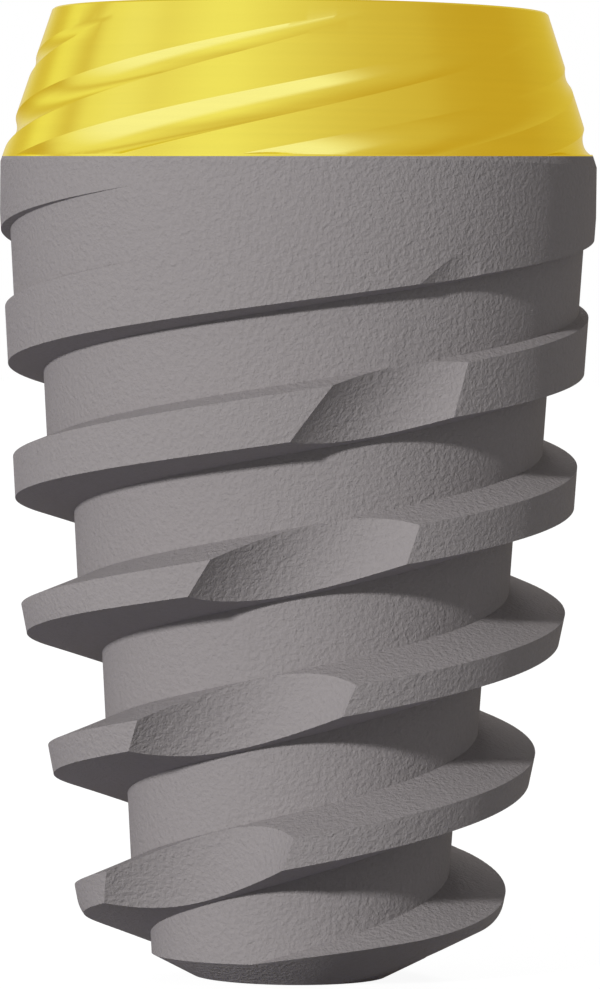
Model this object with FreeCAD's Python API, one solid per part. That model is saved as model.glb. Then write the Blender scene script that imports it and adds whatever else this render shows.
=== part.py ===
import FreeCAD
import Part
import math
import os

# Bone-level dental implant: one piece of titanium, threaded, tapered, platform up.
# Millimetres. The axis is Z, the apex stands on Z = 0 and the front faces -Y.

# Blank
body_length = 8.10
collar_diameter = 5.00
platform_diameter = 4.15
platform_bevel = 0.015
neck_height = 1.285
collar_height = 0.42
upper_taper_angle = 3.6
taper_break_height = 3.13
lower_taper_angle = 11.3
apex_flat_diameter = 1.63
apex_chamfer_angle = 27.0
apex_edge_radius = 0.30

# Bone thread, right-handed, with a cutter form that stays the same all the way
thread_starts = 2
thread_lead = 2.355
thread_height_at_side = 1.194
groove_floor_width = 0.605
groove_floor_taper = 3.5
groove_lower_wall_angle = 20.0
groove_upper_wall_angle = 14.0
groove_reach = 0.95
root_apex_diameter = 2.30
root_taper_angle = 9.37
root_flare = 0.0075

# Cutting flutes, hollow-ground along a steep helix
flute_count = 2
flute_radius = 1.22
flute_lead = 29.5
flute_height_at_front = 3.32
flute_above_root = 0.05

# Fine round-nosed grooves of the polished neck, which run out just below the platform
neck_groove_starts = 6
neck_groove_lead = 3.336
neck_groove_nose_radius = 0.225
neck_groove_nose_flats = 6
neck_groove_height_at_front = 7.30
neck_groove_run_out_height = 7.97
neck_groove_deepening = 0.05
neck_land = 0.025

# Abutment connection: conical seat, hexagonal index, blind screw hole
seat_mouth_diameter = 3.30
seat_taper_angle = 11.0
seat_depth = 1.50
seat_mouth_bevel = 0.04
index_across_flats = 2.45
index_depth = 1.10
screw_relief_diameter = 2.10
screw_relief_depth = 0.25
screw_hole_diameter = 1.60
screw_hole_depth = 2.20
drill_point_angle = 118.0

# How finely the formulas are sampled, and how far cutters run past the blank
span_angle = 125.0
samples_per_span = 8
flute_sections = 12
overrun = 0.30


def tan(degrees):
    return math.tan(math.radians(degrees))


def at(radius, angle, height):
    """Point at a radius, a height and an angle counted from the front (-Y) to the right."""
    turn = math.radians(angle)
    return FreeCAD.Vector(radius * math.sin(turn), -radius * math.cos(turn), height)


def root_radius(height):
    """Radius of the thread root, which narrows to the apex a little faster near the collar."""
    return root_apex_diameter / 2 + height * tan(root_taper_angle) + root_flare * height ** 2


def neck_radius(height):
    """Radius of the plain neck cone."""
    slope = (collar_diameter - platform_diameter) / 2 / neck_height
    return platform_diameter / 2 + (body_length - height) * slope


def blank():
    """The turned blank: apex chamfer, two tapers, collar band, neck cone and platform."""
    collar = collar_diameter / 2
    collar_top = body_length - neck_height
    collar_bottom = collar_top - collar_height
    taper_break = collar - (collar_bottom - taper_break_height) * tan(upper_taper_angle)
    flat = apex_flat_diameter / 2
    apex_rise = tan(apex_chamfer_angle)
    lower_slope = tan(lower_taper_angle)
    apex_corner = taper_break - taper_break_height * lower_slope
    corner_height = (apex_corner - flat) * apex_rise / (1 - lower_slope * apex_rise)
    apex_corner += corner_height * lower_slope
    platform = platform_diameter / 2
    outline = [
        (0, 0),
        (flat, 0),
        (apex_corner, corner_height),
        (taper_break, taper_break_height),
        (collar, collar_bottom),
        (collar, collar_top),
        (neck_radius(body_length - platform_bevel), body_length - platform_bevel),
        (platform - platform_bevel, body_length),
        (0, body_length),
        (0, 0),
    ]
    points = [FreeCAD.Vector(radius, 0, height) for radius, height in outline]
    turned = Part.Face(Part.makePolygon(points)).revolve(
        FreeCAD.Vector(0, 0, 0), FreeCAD.Vector(0, 0, 1), 360)
    apex_edges = [
        edge for edge in turned.Edges
        if abs(edge.BoundBox.ZMin - corner_height) < 1e-6 and edge.BoundBox.ZLength < 1e-6
    ]
    return turned.makeFillet(apex_edge_radius, apex_edges).Solids[0]


def strip(line, next_line):
    """The face ruled between two curves that run side by side, station by station."""
    surface = Part.BSplineSurface()
    surface.buildFromPolesMultsKnots(
        [line.getPoles(), next_line.getPoles()],
        [2, 2], line.getMultiplicities(), [0, 1], line.getKnots(),
        False, False, 1, line.Degree)
    return surface.toShape()


def helical_cutters(lead, first_angle, last_angle, first_height, path_radius, form):
    """Closed solids, end to end, swept by a cutter form along a helix of changing radius.

    The form is a list of (outward, upward) corners around the point on the path.
    """
    spans = math.ceil((last_angle - first_angle) / span_angle)
    count = spans * samples_per_span
    angles = [first_angle + (last_angle - first_angle) * i / count for i in range(count + 1)]
    lines = []
    for outward, upward in form:
        points = []
        for angle in angles:
            height = first_height + lead * (angle - first_angle) / 360
            points.append(at(path_radius(height) + outward, angle, height + upward))
        curve = Part.BSplineCurve()
        curve.interpolate(Points=points, Parameters=angles)
        lines.append(curve)
    cutters = []
    for i in range(spans):
        start = angles[i * samples_per_span]
        end = angles[(i + 1) * samples_per_span]
        edges = [line.copy() for line in lines]
        for edge in edges:
            edge.segment(start, end)
        faces = [strip(edge, next_edge) for edge, next_edge in zip(edges, edges[1:] + edges[:1])]
        for station in (start, end):
            corners = [edge.value(station) for edge in edges]
            faces.append(Part.Face(Part.makePolygon(corners + corners[:1])))
        shell = Part.makeShell(faces)
        shell.sewShape()
        cutter = Part.makeSolid(shell)
        if cutter.Volume < 0:
            cutter.reverse()
        cutters.append(cutter)
    return cutters


def around(shapes, count):
    """The shapes and their copies, evenly spaced around the axis."""
    copies = []
    for i in range(count):
        for shape in shapes:
            copy = shape.copy()
            copy.rotate(FreeCAD.Vector(0, 0, 0), FreeCAD.Vector(0, 0, 1), 360 * i / count)
            copies.append(copy)
    return copies


def thread_grooves():
    """The two grooves that leave the bone thread standing, running out into the collar."""
    reach = groove_reach
    half = groove_floor_width / 2
    lean = half * tan(groove_floor_taper)
    form = [
        (lean, half),
        (-lean, -half),
        (reach, -half - reach * tan(groove_lower_wall_angle)),
        (reach, half + reach * tan(groove_upper_wall_angle)),
    ]
    first_height = -groove_floor_width - overrun
    last_height = first_height
    while root_radius(last_height) < collar_diameter / 2 + lean + overrun / 2:
        last_height += thread_lead / 24
    first_angle = (first_height - thread_height_at_side) * 360 / thread_lead + 90
    last_angle = (last_height - thread_height_at_side) * 360 / thread_lead + 90
    groove = helical_cutters(
        thread_lead, first_angle, last_angle, first_height, root_radius, form)
    return around(groove, thread_starts)


def flutes():
    """Hollow-ground channels that cross the threads and give them cutting edges."""
    bottom = -overrun
    top = body_length - neck_height
    sections = []
    for i in range(flute_sections + 1):
        height = bottom + (top - bottom) * i / flute_sections
        angle = (height - flute_height_at_front) * 360 / flute_lead
        distance = root_radius(height) + flute_above_root + flute_radius
        centre = at(distance, angle, height)
        circle = Part.Circle(centre, FreeCAD.Vector(0, 0, 1), flute_radius)
        sections.append(Part.Wire(circle.toShape()))
    return around([Part.makeLoft(sections, True)], flute_count)


def neck_grooves():
    """Shallow grooves that start over the collar's edge and run out under the platform."""
    nose = neck_groove_nose_radius
    cone_angle = math.degrees(math.atan(neck_radius(0) - neck_radius(1)))
    form = []
    for i in range(neck_groove_nose_flats + 1):
        lean = math.radians(90 * i / neck_groove_nose_flats - 45 - cone_angle)
        form.append((-nose * math.cos(lean), nose * math.sin(lean)))
    form.append((nose, form[-1][1]))
    form.append((nose, form[0][1]))
    lift = nose * math.sin(math.radians(cone_angle))

    def path_radius(height):
        depth = (neck_groove_run_out_height + lift - height) * neck_groove_deepening
        return neck_radius(height) + (nose - depth) / math.cos(math.radians(cone_angle))

    land_top = body_length - neck_height + neck_land
    first_height = land_top - nose
    last_height = body_length + overrun
    first_angle = (first_height - lift - neck_groove_height_at_front) * 360 / neck_groove_lead
    last_angle = (last_height - lift - neck_groove_height_at_front) * 360 / neck_groove_lead
    tools = helical_cutters(
        neck_groove_lead, first_angle, last_angle, first_height, path_radius, form)
    under = Part.makeCylinder(collar_diameter, land_top)
    return around([tool.cut(under) for tool in tools], neck_groove_starts)


def connection():
    """The inside, from the platform down: conical seat, hexagon, relief and screw hole."""
    up = FreeCAD.Vector(0, 0, 1)
    seat_floor = body_length - seat_depth
    seat_mouth = seat_mouth_diameter / 2
    seat_end = seat_mouth - seat_depth * tan(seat_taper_angle)
    seat = Part.makeCone(seat_end, seat_mouth, seat_depth, FreeCAD.Vector(0, 0, seat_floor))
    mouth = Part.makeCone(
        seat_mouth, seat_mouth + seat_mouth_bevel, seat_mouth_bevel,
        FreeCAD.Vector(0, 0, body_length - seat_mouth_bevel))
    corner = index_across_flats / math.sqrt(3)
    index_floor = seat_floor - index_depth
    corners = [at(corner, 60 * i, index_floor) for i in range(7)]
    index = Part.Face(Part.makePolygon(corners)).extrude(up * index_depth)
    relief_floor = index_floor - screw_relief_depth
    relief = Part.makeCylinder(
        screw_relief_diameter / 2, screw_relief_depth, FreeCAD.Vector(0, 0, relief_floor))
    hole = screw_hole_diameter / 2
    hole_floor = relief_floor - screw_hole_depth
    screw_hole = Part.makeCylinder(hole, screw_hole_depth, FreeCAD.Vector(0, 0, hole_floor))
    point_depth = hole / tan(drill_point_angle / 2)
    point = Part.makeCone(0, hole, point_depth, FreeCAD.Vector(0, 0, hole_floor - point_depth))
    return [seat, mouth, index, relief, screw_hole, point]


def implant():
    """The whole implant, cut from its blank in the order in which it is machined."""
    body = blank()
    for cutters in (neck_grooves(), thread_grooves(), flutes(), connection()):
        body = body.cut(cutters)
    return body.Solids[0]


os.makedirs("parts", exist_ok=True)
fixture = implant()
fixture.exportStep("parts/implant_fixture.step")
print("valid", fixture.isValid(), "volume", round(fixture.Volume, 3))
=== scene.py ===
"""Dental implant: grit-blasted titanium screw with a polished, gold anodised neck."""

import math

import bpy
from mathutils import Matrix, Vector


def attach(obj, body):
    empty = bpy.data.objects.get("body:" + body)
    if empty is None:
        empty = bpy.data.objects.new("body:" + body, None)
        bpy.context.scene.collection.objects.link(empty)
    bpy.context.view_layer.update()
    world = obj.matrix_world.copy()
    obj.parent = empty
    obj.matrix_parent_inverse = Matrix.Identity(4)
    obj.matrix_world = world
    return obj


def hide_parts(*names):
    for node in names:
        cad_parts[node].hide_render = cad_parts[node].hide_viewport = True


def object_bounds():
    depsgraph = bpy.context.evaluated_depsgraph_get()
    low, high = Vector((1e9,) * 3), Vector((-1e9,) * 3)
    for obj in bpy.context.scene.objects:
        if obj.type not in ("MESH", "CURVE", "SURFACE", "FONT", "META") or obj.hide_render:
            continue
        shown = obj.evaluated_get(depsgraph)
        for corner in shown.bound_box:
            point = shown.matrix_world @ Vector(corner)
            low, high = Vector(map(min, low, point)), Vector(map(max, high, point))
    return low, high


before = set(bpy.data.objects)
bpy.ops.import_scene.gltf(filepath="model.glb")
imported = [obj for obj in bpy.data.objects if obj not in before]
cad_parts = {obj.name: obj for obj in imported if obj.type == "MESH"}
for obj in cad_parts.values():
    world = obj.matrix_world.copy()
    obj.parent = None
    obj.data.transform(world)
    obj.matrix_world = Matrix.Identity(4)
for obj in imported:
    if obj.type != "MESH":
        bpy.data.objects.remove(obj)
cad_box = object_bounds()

bl_info = {
    "name": "Dental implant",
    "version": (1, 0, 0),
    "blender": (4, 5, 0),
    "location": "View3D > Sidebar > Implant",
    "description": "Turns, threads, flutes, bores and finishes a dental implant",
    "category": "Object",
}

MM = 0.001
PIECE = "implant"
NODE = "implant_fixture"
LENGTH = cad_box[1][2] - cad_box[0][2]

# The bone thread's root: radius at the apex in mm, taper in degrees, and extra flare
ROOT_AT_APEX = 1.15
ROOT_TAPER = 9.37
ROOT_FLARE = 0.0075

# How far the tools run past the blank, in mm
OVERRUN = 0.3

# The camera: place, target and lens in mm, and roll in degrees
CAMERA_PLACE = (0.0429, -50.42, 5.597)
CAMERA_TARGET = (0.0429, 0, 4.046)
CAMERA_ROLL = 0.645
CAMERA_LENS = 218.4


class ImplantSizes(bpy.types.PropertyGroup):
    """Sizes of the implant"""

    length: bpy.props.FloatProperty(
        name="Length", description="Apex to platform",
        default=LENGTH, unit='LENGTH', precision=5)
    collar: bpy.props.FloatProperty(
        name="Collar diameter", description="Widest band, under the neck",
        default=0.0050, unit='LENGTH', precision=5)
    platform: bpy.props.FloatProperty(
        name="Platform diameter", description="Top end of the neck cone",
        default=0.00415, unit='LENGTH', precision=5)
    neck: bpy.props.FloatProperty(
        name="Neck height", description="Height of the cone over the collar band",
        default=0.001285, unit='LENGTH', precision=6)
    thread_lead: bpy.props.FloatProperty(
        name="Thread lead", description="Rise of the bone thread in one turn",
        default=0.002355, unit='LENGTH', precision=6)
    groove_floor: bpy.props.FloatProperty(
        name="Groove floor", description="Width of the bone thread's root",
        default=0.000605, unit='LENGTH', precision=6)
    flute_radius: bpy.props.FloatProperty(
        name="Flute radius", description="Radius of the hollow-ground cutting flutes",
        default=0.00122, unit='LENGTH', precision=5)
    neck_nose: bpy.props.FloatProperty(
        name="Neck groove nose", description="Nose radius of the tool for the neck grooves",
        default=0.00028, unit='LENGTH', precision=5)
    seat: bpy.props.FloatProperty(
        name="Seat mouth", description="Diameter of the conical seat at the platform",
        default=0.00330, unit='LENGTH', precision=5)
    flats: bpy.props.FloatProperty(
        name="Across flats", description="Hexagonal index under the seat",
        default=0.00245, unit='LENGTH', precision=5)
    screw_hole: bpy.props.FloatProperty(
        name="Screw hole", description="Smallest diameter of the abutment screw's thread",
        default=0.0016, unit='LENGTH', precision=5)
    border: bpy.props.FloatProperty(
        name="Gold border", description="Height at which the gold ends, at the axis",
        default=0.006887, unit='LENGTH', precision=6)
    border_forward: bpy.props.FloatProperty(
        name="Border lean forward", description="How far the gold's border dips to the front",
        default=math.radians(1.466), subtype='ANGLE')
    border_sideways: bpy.props.FloatProperty(
        name="Border lean sideways", description="How far the gold's border rises to the right",
        default=math.radians(0.633), subtype='ANGLE')


class ImplantFinish(bpy.types.PropertyGroup):
    """Colours and finishes of the implant"""

    titanium: bpy.props.FloatVectorProperty(
        name="Titanium", description="Grit-blasted titanium",
        subtype='COLOR', size=3, min=0, max=1, default=(0.300, 0.278, 0.280))
    gold: bpy.props.FloatVectorProperty(
        name="Gold", description="Anodised layer on the polished neck",
        subtype='COLOR', size=3, min=0, max=1, default=(0.863, 0.745, 0.102))
    polish: bpy.props.FloatProperty(
        name="Neck roughness", description="Roughness of the polished neck",
        min=0, max=1, subtype='FACTOR', default=0.17)
    grit: bpy.props.FloatProperty(
        name="Grit depth", description="Depth of the blasted grain",
        default=0.0000175, unit='LENGTH', precision=7)


def tan(degrees):
    """Tangent of an angle in degrees."""
    return math.tan(math.radians(degrees))


def at(radius, angle, height):
    """Point at a radius, a height and an angle in degrees from the front to the right."""
    turn = math.radians(angle)
    return Vector((radius * math.sin(turn), -radius * math.cos(turn), height))


def root_radius(height):
    """Radius of the bone thread's root, in mm."""
    return ROOT_AT_APEX + height * tan(ROOT_TAPER) + ROOT_FLARE * height ** 2


def neck_radius(height):
    """Radius of the plain neck cone, in mm."""
    sizes = bpy.context.scene.implant_sizes
    slope = (sizes.collar - sizes.platform) / 2 / sizes.neck
    return sizes.platform / 2 / MM + (sizes.length / MM - height) * slope


def collar_top():
    """Height at which the collar band ends and the neck begins, in mm."""
    sizes = bpy.context.scene.implant_sizes
    return (sizes.length - sizes.neck) / MM


def gold_border():
    """Point and upward normal of the plane in which the gold ends, in mm."""
    sizes = bpy.context.scene.implant_sizes
    up = Vector((-math.tan(sizes.border_sideways), -math.tan(sizes.border_forward), 1))
    return Vector((0, 0, sizes.border / MM)), up.normalized()


def the_piece():
    """The implant itself, once it is turned."""
    body = bpy.data.objects.get(PIECE)
    if body is None:
        raise RuntimeError("the blank comes first")
    return body


def select_only(thing):
    bpy.ops.object.select_all(action='DESELECT')
    thing.select_set(True)
    bpy.context.view_layer.objects.active = thing


def closed(body):
    """Closes open ends and turns the faces outwards, from edit mode."""
    bpy.ops.mesh.select_all(action='SELECT')
    bpy.ops.mesh.fill_holes(sides=0)
    bpy.ops.mesh.select_all(action='SELECT')
    bpy.ops.mesh.normals_make_consistent(inside=False)
    bpy.ops.object.mode_set(mode='OBJECT')
    bpy.ops.object.transform_apply(location=True, rotation=True)
    return body


def disc(name, corners, radius, place, rotation=(0, 0, 0)):
    """A flat face of that many corners, added and left selected in edit mode."""
    bpy.ops.object.select_all(action='DESELECT')
    bpy.ops.mesh.primitive_circle_add(
        vertices=corners, radius=radius, fill_type='NGON', location=place, rotation=rotation)
    face = bpy.context.active_object
    face.name = name
    bpy.ops.object.transform_apply(location=True, rotation=True)
    bpy.ops.object.mode_set(mode='EDIT')
    bpy.ops.mesh.select_all(action='SELECT')
    return face


def turned(name, outline, segments):
    """Solid of revolution from (radius, height) corners, all off the axis, in mm."""
    radius, height = outline[0]
    body = disc(name, segments, radius, (0, 0, height))
    for next_radius, next_height in outline[1:]:
        bpy.ops.mesh.extrude_region_move(
            TRANSFORM_OT_translate={"value": (0, 0, next_height - height)})
        scale = next_radius / radius
        bpy.ops.transform.resize(value=(scale, scale, 1), center_override=(0, 0, next_height))
        radius, height = next_radius, next_height
    return closed(body)


def swept(tool, path):
    """Carries the selected face along a path of (radius, angle, height) round the axis."""
    for (radius, angle, height), (next_radius, next_angle, next_height) in zip(path, path[1:]):
        bpy.ops.mesh.extrude_region_move(TRANSFORM_OT_translate={
            "value": at(next_radius - radius, angle, next_height - height)})
        bpy.ops.transform.rotate(
            value=math.radians(angle - next_angle), orient_axis='Z', center_override=(0, 0, 0))
    return closed(tool)


def helix(lead, zero_height, first, last, steps_a_turn, path_radius):
    """Path up a right-handed helix that passes the front at zero_height."""
    count = math.ceil((last - first) / lead * steps_a_turn)
    path = []
    for i in range(count + 1):
        height = first + (last - first) * i / count
        path.append((path_radius(height), (height - zero_height) * 360 / lead, height))
    return path


def shaped(name, form, start):
    """A flat face with (outward, upward) corners round the path's start."""
    radius, angle, height = start
    face = disc(name, len(form), 1, (0, 0, 0))
    bpy.ops.object.mode_set(mode='OBJECT')
    for vertex, (outward, upward) in zip(face.data.vertices, form):
        vertex.co = at(radius + outward, angle, height + upward)
    bpy.ops.object.mode_set(mode='EDIT')
    bpy.ops.mesh.select_all(action='SELECT')
    return face


def rounded(before, corner, after, radius, steps):
    """Points of an arc that rounds an outline's corner."""
    corner = Vector(corner)
    inward = (Vector(before) - corner).normalized()
    outward = (Vector(after) - corner).normalized()
    half = inward.angle(outward) / 2
    centre = corner + (inward + outward).normalized() * radius / math.sin(half)
    start = corner + inward * radius / math.tan(half) - centre
    end = corner + outward * radius / math.tan(half) - centre
    arms = [start.lerp(end, i / steps).normalized() for i in range(steps + 1)]
    return [tuple(centre + arm * radius) for arm in arms]


def copies_around(tool, count):
    """The tool and its turned copies, each with its own mesh."""
    tools = [tool]
    for i in range(1, count):
        select_only(tool)
        bpy.ops.object.duplicate(linked=False)
        copy = bpy.context.active_object
        bpy.ops.transform.rotate(
            value=math.tau * i / count, orient_axis='Z', center_override=(0, 0, 0))
        bpy.ops.object.transform_apply(location=True, rotation=True)
        tools.append(copy)
    return tools


def cut(*tools):
    """Cuts the tools out of the piece, one after another, and removes them."""
    body = the_piece()
    for tool in tools:
        select_only(body)
        step = body.modifiers.new("cut", 'BOOLEAN')
        step.operation = 'DIFFERENCE'
        step.solver = 'EXACT'
        step.object = tool
        before = len(body.data.vertices)
        bpy.ops.object.modifier_apply(modifier=step.name)
        if len(body.data.vertices) <= before:
            raise RuntimeError("%s cut nothing" % tool.name)
        bpy.data.objects.remove(tool)


class IMPLANT_OT_turn_blank(bpy.types.Operator):
    """Turns the blank: apex chamfer, two tapers, collar band, neck cone and platform"""

    bl_idname = "implant.turn_blank"
    bl_label = "Turn the blank"

    def execute(self, context):
        sizes = context.scene.implant_sizes
        length = sizes.length / MM
        collar = sizes.collar / MM / 2
        collar_band = 0.42
        break_height = 3.13
        upper_slope = tan(3.6)
        lower_slope = tan(11.3)
        chamfer_slope = tan(27.0)
        apex_flat = 0.815
        apex_rounding = 0.30
        bevel = 0.015
        neck_steps = 8
        collar_bottom = collar_top() - collar_band
        taper_break = (collar - (collar_bottom - break_height) * upper_slope, break_height)
        flat = (apex_flat, 0.0)
        foot = taper_break[0] - break_height * lower_slope
        corner_height = (foot - apex_flat) * chamfer_slope / (1 - lower_slope * chamfer_slope)
        corner = (foot + corner_height * lower_slope, corner_height)
        neck_rise = length - bevel - collar_top()
        neck_rings = [collar_top() + neck_rise * i / neck_steps for i in range(neck_steps + 1)]
        turned(PIECE, [
            flat,
            *rounded(flat, corner, taper_break, apex_rounding, steps=10),
            taper_break,
            (collar, collar_bottom),
            *[(neck_radius(height), height) for height in neck_rings],
            (sizes.platform / MM / 2 - bevel, length),
        ], segments=360)
        return {'FINISHED'}


class IMPLANT_OT_cut_neck_grooves(bpy.types.Operator):
    """Cuts the six shallow round-nosed grooves of the neck"""

    bl_idname = "implant.cut_neck_grooves"
    bl_label = "Cut the neck grooves"

    def execute(self, context):
        sizes = context.scene.implant_sizes
        nose = sizes.neck_nose / MM
        lead = 3.336
        height_at_front = 7.30
        run_out_height = 7.99
        deepening = 0.05
        land = 0.025
        border_land = 0.012
        cone = math.atan(neck_radius(0) - neck_radius(1))
        lift = nose * math.sin(cone)
        land_top = collar_top() + land

        def path_radius(height):
            depth = (run_out_height + lift - height) * deepening
            return neck_radius(height) + (nose - depth) / math.cos(cone)

        first = land_top - nose
        last = sizes.length / MM + OVERRUN
        path = helix(lead, height_at_front + lift, first, last, 360, path_radius)
        radius, angle, height = path[0]
        tool = disc("neck_tool", 72, nose, at(radius, angle, height),
                    rotation=(math.pi / 2, 0, math.radians(angle + 90)))
        tools = copies_around(swept(tool, path), count=6)
        border, up = gold_border()
        planes = (((0, 0, land_top), (0, 0, 1)), (border + up * border_land, up))
        for tool in tools:
            select_only(tool)
            bpy.ops.object.mode_set(mode='EDIT')
            for point, normal in planes:
                bpy.ops.mesh.select_all(action='SELECT')
                bpy.ops.mesh.bisect(
                    plane_co=point, plane_no=normal, use_fill=True, clear_inner=True)
            bpy.ops.object.mode_set(mode='OBJECT')
        cut(*tools)
        return {'FINISHED'}


class IMPLANT_OT_cut_bone_thread(bpy.types.Operator):
    """Cuts the two grooves that leave the bone thread standing"""

    bl_idname = "implant.cut_bone_thread"
    bl_label = "Cut the bone thread"

    def execute(self, context):
        sizes = context.scene.implant_sizes
        lead = sizes.thread_lead / MM
        half = sizes.groove_floor / MM / 2
        lean = half * tan(3.5)
        reach = 0.95
        lower_wall = tan(20.0)
        upper_wall = tan(14.0)
        height_at_side = 1.194
        form = [
            (lean, half),
            (-lean, -half),
            (reach, -half - reach * lower_wall),
            (reach, half + reach * upper_wall),
        ]
        first = -2 * half - OVERRUN
        last = first
        while root_radius(last) < sizes.collar / MM / 2 + lean + OVERRUN / 2:
            last += lead / 24
        path = helix(lead, height_at_side - lead / 4, first, last, 240, root_radius)
        tool = swept(shaped("thread_tool", form, path[0]), path)
        cut(*copies_around(tool, count=2))
        return {'FINISHED'}


class IMPLANT_OT_grind_flutes(bpy.types.Operator):
    """Grinds the two cutting flutes across the threads"""

    bl_idname = "implant.grind_flutes"
    bl_label = "Grind the flutes"

    def execute(self, context):
        radius = context.scene.implant_sizes.flute_radius / MM
        lead = 29.5
        height_at_front = 3.32
        over_root = 0.05
        path = helix(lead, height_at_front, -OVERRUN, collar_top(), 240,
                     lambda height: root_radius(height) + over_root + radius)
        tool = disc("flute_tool", 158, radius, at(*path[0]))
        cut(*copies_around(swept(tool, path), count=2))
        return {'FINISHED'}


class IMPLANT_OT_bore_connection(bpy.types.Operator):
    """Bores the conical seat, the hexagonal index and the threaded screw hole"""

    bl_idname = "implant.bore_connection"
    bl_label = "Bore the connection"

    def execute(self, context):
        sizes = context.scene.implant_sizes
        length = sizes.length / MM
        mouth = sizes.seat / MM / 2
        hole = sizes.screw_hole / MM / 2
        relief = 1.05
        seat_depth = 1.5
        index_depth = 1.1
        relief_depth = 0.25
        hole_depth = 2.2
        seat_slope = tan(11.0)
        point_slope = tan(59.0)
        point_tip = 0.02
        lead_in_depth = 0.12
        lead_in_width = 0.2
        bevel = 0.04
        overlap = 0.2
        seat_floor = length - seat_depth
        index_floor = seat_floor - index_depth
        relief_floor = index_floor - relief_depth
        hole_floor = relief_floor - hole_depth
        seat = turned("seat_tool", [
            (mouth - seat_depth * seat_slope, seat_floor),
            (mouth - bevel * seat_slope, length - bevel),
            (mouth + bevel, length),
            (mouth + bevel + overlap, length + overlap),
        ], segments=256)
        corner = sizes.flats / MM / math.sqrt(3)
        index = turned("index_tool", [
            (corner, index_floor),
            (corner, seat_floor + overlap),
        ], segments=6)
        shaft = turned("shaft_tool", [
            (point_tip, hole_floor - hole / point_slope),
            (hole, hole_floor),
            (hole, relief_floor - lead_in_depth),
            (hole + lead_in_width, relief_floor),
            (relief, relief_floor),
            (relief, index_floor + overlap),
        ], segments=144)
        cut(seat, index, shaft)
        pitch = 0.4
        plain_end = 0.3
        run_out = 0.1
        groove = [(-0.05, 0.17), (-0.05, -0.17), (0.2, -0.03), (0.2, 0.03)]
        first = hole_floor + plain_end
        last = relief_floor + run_out
        path = helix(pitch, 0, first, last, 72, lambda height: hole)
        cut(swept(shaped("screw_tool", groove, path[0]), path))
        return {'FINISHED'}


def new_material(name):
    """An empty material, with its nodes, links and output."""
    material = bpy.data.materials.new(name)
    material.use_nodes = True
    nodes = material.node_tree.nodes
    nodes.clear()
    output = nodes.new('ShaderNodeOutputMaterial')
    return material, nodes, material.node_tree.links, output


def noise(nodes, scale, detail, roughness):
    node = nodes.new('ShaderNodeTexNoise')
    node.inputs['Scale'].default_value = scale
    node.inputs['Detail'].default_value = detail
    node.inputs['Roughness'].default_value = roughness
    return node


def ramp(nodes, stops):
    """Colour ramp from (position, colour) stops."""
    node = nodes.new('ShaderNodeValToRGB')
    elements = node.color_ramp.elements
    while len(elements) < len(stops):
        elements.new(1.0)
    for element, (position, colour) in zip(elements, stops):
        element.position = position
        element.color = (*colour, 1)
    return node


def blasted_titanium(finish):
    """Grey titanium with the fine pitted grain that grit blasting leaves."""
    material, nodes, links, output = new_material("blasted_titanium")
    shader = nodes.new('ShaderNodeBsdfPrincipled')
    links.new(shader.outputs[0], output.inputs[0])
    place = nodes.new('ShaderNodeTexCoord')
    grain = noise(nodes, scale=25000, detail=3, roughness=0.55)
    pits = noise(nodes, scale=60000, detail=2, roughness=0.5)
    pit_share = 0.25
    links.new(place.outputs['Object'], grain.inputs['Vector'])
    links.new(place.outputs['Object'], pits.inputs['Vector'])
    base = Vector(finish.titanium)
    tone = ramp(nodes, [(0.30, base * 0.96), (0.62, base * 1.01), (0.75, base * 1.03)])
    links.new(grain.outputs['Fac'], tone.inputs['Fac'])
    links.new(tone.outputs['Color'], shader.inputs['Base Color'])
    height = nodes.new('ShaderNodeMath')
    height.operation = 'MULTIPLY_ADD'
    height.inputs[1].default_value = pit_share
    links.new(pits.outputs['Fac'], height.inputs[0])
    links.new(grain.outputs['Fac'], height.inputs[2])
    relief = nodes.new('ShaderNodeBump')
    relief.inputs['Strength'].default_value = 1.0
    relief.inputs['Distance'].default_value = finish.grit
    links.new(height.outputs[0], relief.inputs['Height'])
    links.new(relief.outputs['Normal'], shader.inputs['Normal'])
    shader.inputs['Roughness'].default_value = 0.8
    shader.inputs['Specular IOR Level'].default_value = 0.05
    return material


def anodised_gold(finish):
    """Polished titanium under a gold anodised layer, with faint turning marks."""
    material, nodes, links, output = new_material("anodised_gold")
    shader = nodes.new('ShaderNodeBsdfPrincipled')
    links.new(shader.outputs[0], output.inputs[0])
    place = nodes.new('ShaderNodeTexCoord')
    stretch = nodes.new('ShaderNodeMapping')
    stretch.inputs['Scale'].default_value = (300, 300, 25000)
    marks = noise(nodes, scale=1, detail=2, roughness=0.5)
    links.new(place.outputs['Object'], stretch.inputs['Vector'])
    links.new(stretch.outputs['Vector'], marks.inputs['Vector'])
    base = Vector(finish.gold)
    tone = ramp(nodes, [(0.3, base * 0.985), (0.7, base * 1.01)])
    links.new(marks.outputs['Fac'], tone.inputs['Fac'])
    links.new(tone.outputs['Color'], shader.inputs['Base Color'])
    shader.inputs['Metallic'].default_value = 1.0
    shader.inputs['Roughness'].default_value = finish.polish
    shader.inputs['Specular Tint'].default_value = (0.96, 0.91, 0.48, 1)
    return material


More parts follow.
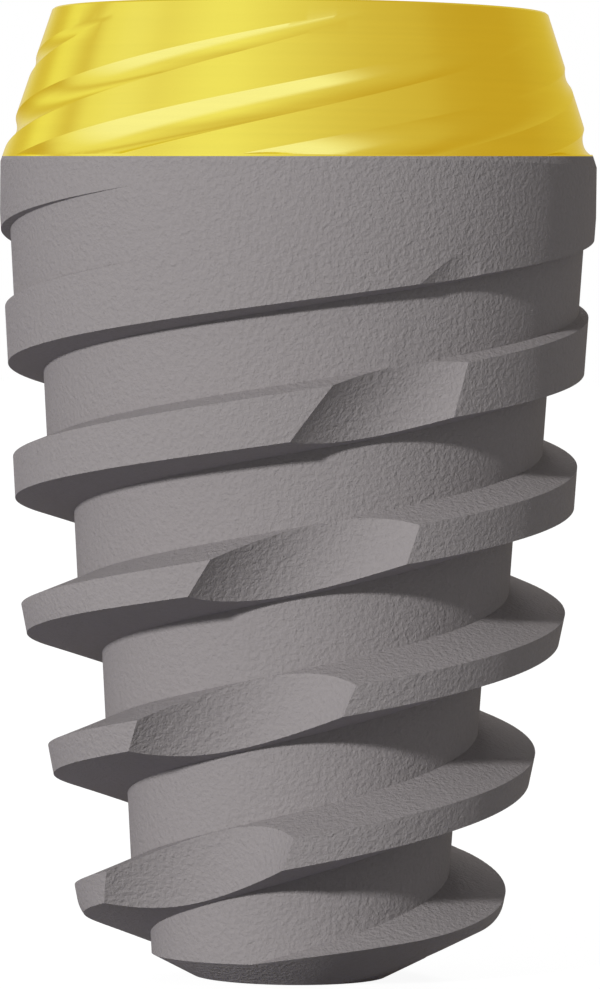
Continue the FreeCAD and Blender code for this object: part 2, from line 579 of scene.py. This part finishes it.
class IMPLANT_OT_finish_surfaces(bpy.types.Operator):
    """Blasts the body, and polishes and anodises the neck and the inside"""

    bl_idname = "implant.finish_surfaces"
    bl_label = "Finish the surfaces"

    def execute(self, context):
        sizes = context.scene.implant_sizes
        finish = context.scene.implant_finish
        body = the_piece()
        border, up = gold_border()
        shortest_edge = 0.0005
        crease = math.radians(14)
        bore_end = 2.0
        seat_margin = 0.05
        root_margin = 0.2
        select_only(body)
        bpy.ops.object.mode_set(mode='EDIT')
        bpy.ops.mesh.select_all(action='SELECT')
        bpy.ops.mesh.bisect(plane_co=border, plane_no=up)
        bpy.ops.mesh.select_all(action='SELECT')
        bpy.ops.mesh.dissolve_degenerate(threshold=shortest_edge)
        bpy.ops.mesh.select_all(action='SELECT')
        bpy.ops.mesh.normals_make_consistent(inside=False)
        bpy.ops.object.mode_set(mode='OBJECT')
        body.data.materials.append(blasted_titanium(finish))
        body.data.materials.append(anodised_gold(finish))
        for face in body.data.polygons:
            centre = face.center
            bored = min(sizes.seat / MM / 2 + seat_margin, root_radius(centre.z) - root_margin)
            inside = centre.z > bore_end and math.hypot(centre.x, centre.y) < bored
            above_border = (centre - border).dot(up) > 0
            face.material_index = 1 if above_border or inside else 0
        bpy.ops.transform.resize(value=(MM, MM, MM), center_override=(0, 0, 0))
        bpy.ops.object.transform_apply(location=True, rotation=True, scale=True)
        bpy.ops.object.shade_smooth_by_angle(angle=crease)
        flat_lands = body.modifiers.new("flat_lands", 'WEIGHTED_NORMAL')
        flat_lands.keep_sharp = True
        flat_lands.weight = 90
        bpy.ops.object.modifier_apply(modifier=flat_lands.name)
        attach(body, "root")
        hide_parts(NODE)
        return {'FINISHED'}


def mix_by_ray(nodes, links, ray, others, those):
    """Shows one shader to rays of one kind and another shader to the rest."""
    choose = nodes.new('ShaderNodeMixShader')
    links.new(ray, choose.inputs[0])
    links.new(others, choose.inputs[1])
    links.new(those, choose.inputs[2])
    return choose.outputs[0]


# What the polished neck mirrors, one layer over the other: strengths by azimuth from the front
# and by elevation, in degrees, and the tone that each layer mixes in
SOFTBOXES = ((
    (-180, 0.5), (-163, 0.72), (-149, 0.36), (-141, 0.42), (-133, 1.0), (-125, 0.97),
    (-118, 0.64), (-111, 0.28), (-103, 0.92), (-90, 0.96), (-78, 0.92), (-69, 0.76), (-58, 0.88),
    (-44, 1.04), (-30, 1.04), (-18, 0.88), (0, 0.68), (18, 0.47), (35, 0.32), (61, 0.20),
    (72, 0.06), (90, 0.0), (112, 0.0), (132, 0.15), (150, 0.30), (165, 0.45), (180, 0.5),
), ((-90, 1.0), (39, 1.0), (53, 0.72), (72, 0.42), (90, 0.34)), (1.0, 1.0, 1.0))
DARK_CORNER = (
    ((-180, 0.8), (-112, 0.8), (-96, 0.0), (150, 0.0), (180, 0.8)),
    ((-90, 1.0), (-8, 1.0), (8, 0.0), (90, 0.0)), (0.0, 0.0, 0.0))
LIT_TABLE = (
    ((-180, 0.0), (-95, 0.0), (-84, 0.6), (-74, 0.95), (-66, 1.0), (18, 1.0), (27, 0.5),
     (36, 0.1), (48, 0.0), (180, 0.0)),
    ((-90, 1.0), (19, 1.0), (31, 0.0), (90, 0.0)), (1.31, 1.34, 2.77))
# The warm reflector behind them all
WARM = (0.647, 0.472, 0.172)
# Strength of the plain soft light that falls on the object from all sides
SOFT_LIGHT = 0.22


def studio_world(scene):
    """White to the camera, soft light on the object, and softboxes for polished metal."""
    world = bpy.data.worlds.new("studio")
    scene.world = world
    world.use_nodes = True
    nodes = world.node_tree.nodes
    links = world.node_tree.links
    nodes.clear()
    output = nodes.new('ShaderNodeOutputWorld')
    rays = nodes.new('ShaderNodeLightPath')
    soft = nodes.new('ShaderNodeBackground')
    soft.inputs['Color'].default_value = (1, 1, 1, 1)
    soft.inputs['Strength'].default_value = SOFT_LIGHT
    white = nodes.new('ShaderNodeBackground')
    white.inputs['Color'].default_value = (1, 1, 1, 1)
    place = nodes.new('ShaderNodeTexCoord')
    parts = nodes.new('ShaderNodeSeparateXYZ')
    links.new(place.outputs['Generated'], parts.inputs[0])
    front = nodes.new('ShaderNodeMath')
    front.operation = 'MULTIPLY'
    front.inputs[1].default_value = -1
    links.new(parts.outputs['Y'], front.inputs[0])
    azimuth = nodes.new('ShaderNodeMath')
    azimuth.operation = 'ARCTAN2'
    links.new(parts.outputs['X'], azimuth.inputs[0])
    links.new(front.outputs[0], azimuth.inputs[1])
    turn = nodes.new('ShaderNodeMapRange')
    turn.inputs['From Min'].default_value = -math.pi
    turn.inputs['From Max'].default_value = math.pi
    links.new(azimuth.outputs[0], turn.inputs['Value'])
    climb = nodes.new('ShaderNodeMapRange')
    climb.inputs['From Min'].default_value = -1
    links.new(parts.outputs['Z'], climb.inputs['Value'])
    shown = None
    for around, upward, tone in (SOFTBOXES, DARK_CORNER, LIT_TABLE):
        by_azimuth = ramp(nodes, [((angle + 180) / 360, (strength,) * 3)
                                  for angle, strength in around])
        by_elevation = ramp(nodes, [((math.sin(math.radians(angle)) + 1) / 2, (strength,) * 3)
                                    for angle, strength in upward])
        links.new(turn.outputs[0], by_azimuth.inputs['Fac'])
        links.new(climb.outputs[0], by_elevation.inputs['Fac'])
        weight = nodes.new('ShaderNodeMath')
        weight.operation = 'MULTIPLY'
        links.new(by_azimuth.outputs['Color'], weight.inputs[0])
        links.new(by_elevation.outputs['Color'], weight.inputs[1])
        layer = nodes.new('ShaderNodeMix')
        layer.data_type = 'VECTOR'
        layer.clamp_factor = False
        layer.inputs['B'].default_value = tone
        links.new(weight.outputs[0], layer.inputs['Factor'])
        if shown:
            links.new(shown, layer.inputs['A'])
        shown = layer.outputs['Result']
    light = nodes.new('ShaderNodeVectorMath')
    light.operation = 'MULTIPLY_ADD'
    light.inputs[1].default_value = Vector((1, 1, 1)) - Vector(WARM)
    light.inputs[2].default_value = WARM
    links.new(shown, light.inputs[0])
    boxes = nodes.new('ShaderNodeBackground')
    links.new(light.outputs[0], boxes.inputs['Color'])
    lit = mix_by_ray(
        nodes, links, rays.outputs['Is Glossy Ray'], soft.outputs[0], boxes.outputs[0])
    seen = mix_by_ray(nodes, links, rays.outputs['Is Camera Ray'], lit, white.outputs[0])
    links.new(seen, output.inputs[0])


def sun(name, azimuth, elevation, strength, spread):
    """A distant softbox, given by where it stands and how wide it looks, in degrees."""
    lamp = bpy.data.lights.new(name, 'SUN')
    lamp.energy = strength
    lamp.angle = math.radians(spread)
    thing = bpy.data.objects.new(name, lamp)
    bpy.context.collection.objects.link(thing)
    level = math.cos(math.radians(elevation))
    towards = at(level, azimuth, math.sin(math.radians(elevation)))
    thing.rotation_euler = towards.to_track_quat('Z', 'Y').to_euler()
    thing.visible_glossy = False


def floor_material():
    """Pale floor that shows white with the object's soft shadow."""
    material, nodes, links, output = new_material("floor")
    rays = nodes.new('ShaderNodeLightPath')
    dull = nodes.new('ShaderNodeBsdfDiffuse')
    dull.inputs['Color'].default_value = (0.36, 0.36, 0.36, 1)
    pale = nodes.new('ShaderNodeBsdfDiffuse')
    pale.inputs['Color'].default_value = (0.16, 0.16, 0.16, 1)
    glow = nodes.new('ShaderNodeEmission')
    glow.inputs['Strength'].default_value = 0.93
    sheet = nodes.new('ShaderNodeAddShader')
    links.new(pale.outputs[0], sheet.inputs[0])
    links.new(glow.outputs[0], sheet.inputs[1])
    seen = mix_by_ray(
        nodes, links, rays.outputs['Is Camera Ray'], dull.outputs[0], sheet.outputs[0])
    links.new(seen, output.inputs[0])
    return material


class IMPLANT_OT_set_stage(bpy.types.Operator):
    """Sets the floor, the studio light and the camera"""

    bl_idname = "implant.set_stage"
    bl_label = "Set the stage"

    def execute(self, context):
        bpy.ops.object.select_all(action='DESELECT')
        bpy.ops.mesh.primitive_circle_add(vertices=96, radius=0.4, fill_type='NGON')
        floor = context.active_object
        floor.name = "floor"
        floor.visible_glossy = False
        floor.data.materials.append(floor_material())
        studio_world(context.scene)
        sun("key", azimuth=-33, elevation=18, strength=2.78, spread=4)
        sun("fill", azimuth=80, elevation=8, strength=0.25, spread=40)
        sun("back", azimuth=-170, elevation=22, strength=2.0, spread=20)
        camera = bpy.data.cameras.new("camera")
        camera.lens = CAMERA_LENS
        camera.sensor_width = 36
        camera.clip_start = 0.001
        camera.clip_end = 10
        eye = bpy.data.objects.new("camera", camera)
        context.collection.objects.link(eye)
        place = Vector(CAMERA_PLACE) * MM
        target = Vector(CAMERA_TARGET) * MM
        aim = (target - place).to_track_quat('-Z', 'Y').to_matrix().to_4x4()
        roll = Matrix.Rotation(math.radians(CAMERA_ROLL), 4, 'Z')
        eye.matrix_world = Matrix.Translation(place) @ aim @ roll
        context.scene.camera = eye
        context.scene.view_settings.view_transform = 'Standard'
        return {'FINISHED'}


STEPS = (
    IMPLANT_OT_turn_blank,
    IMPLANT_OT_cut_neck_grooves,
    IMPLANT_OT_cut_bone_thread,
    IMPLANT_OT_grind_flutes,
    IMPLANT_OT_bore_connection,
    IMPLANT_OT_finish_surfaces,
    IMPLANT_OT_set_stage,
)


class IMPLANT_PT_steps(bpy.types.Panel):
    """The steps that make the implant, in order"""

    bl_label = "Dental implant"
    bl_space_type = 'VIEW_3D'
    bl_region_type = 'UI'
    bl_category = "Implant"

    def draw(self, context):
        layout = self.layout
        for group in (context.scene.implant_sizes, context.scene.implant_finish):
            for name in group.__annotations__:
                layout.prop(group, name)
        for step in STEPS:
            layout.operator(step.bl_idname)


CLASSES = (ImplantSizes, ImplantFinish, IMPLANT_PT_steps) + STEPS


def register():
    for item in CLASSES:
        bpy.utils.register_class(item)
    bpy.types.Scene.implant_sizes = bpy.props.PointerProperty(type=ImplantSizes)
    bpy.types.Scene.implant_finish = bpy.props.PointerProperty(type=ImplantFinish)


def unregister():
    del bpy.types.Scene.implant_finish
    del bpy.types.Scene.implant_sizes
    for item in reversed(CLASSES):
        bpy.utils.unregister_class(item)


def main():
    register()
    bpy.ops.implant.turn_blank()
    bpy.ops.implant.cut_neck_grooves()
    bpy.ops.implant.cut_bone_thread()
    bpy.ops.implant.grind_flutes()
    bpy.ops.implant.bore_connection()
    bpy.ops.implant.finish_surfaces()
    bpy.ops.implant.set_stage()


if __name__ == "__main__":
    main()
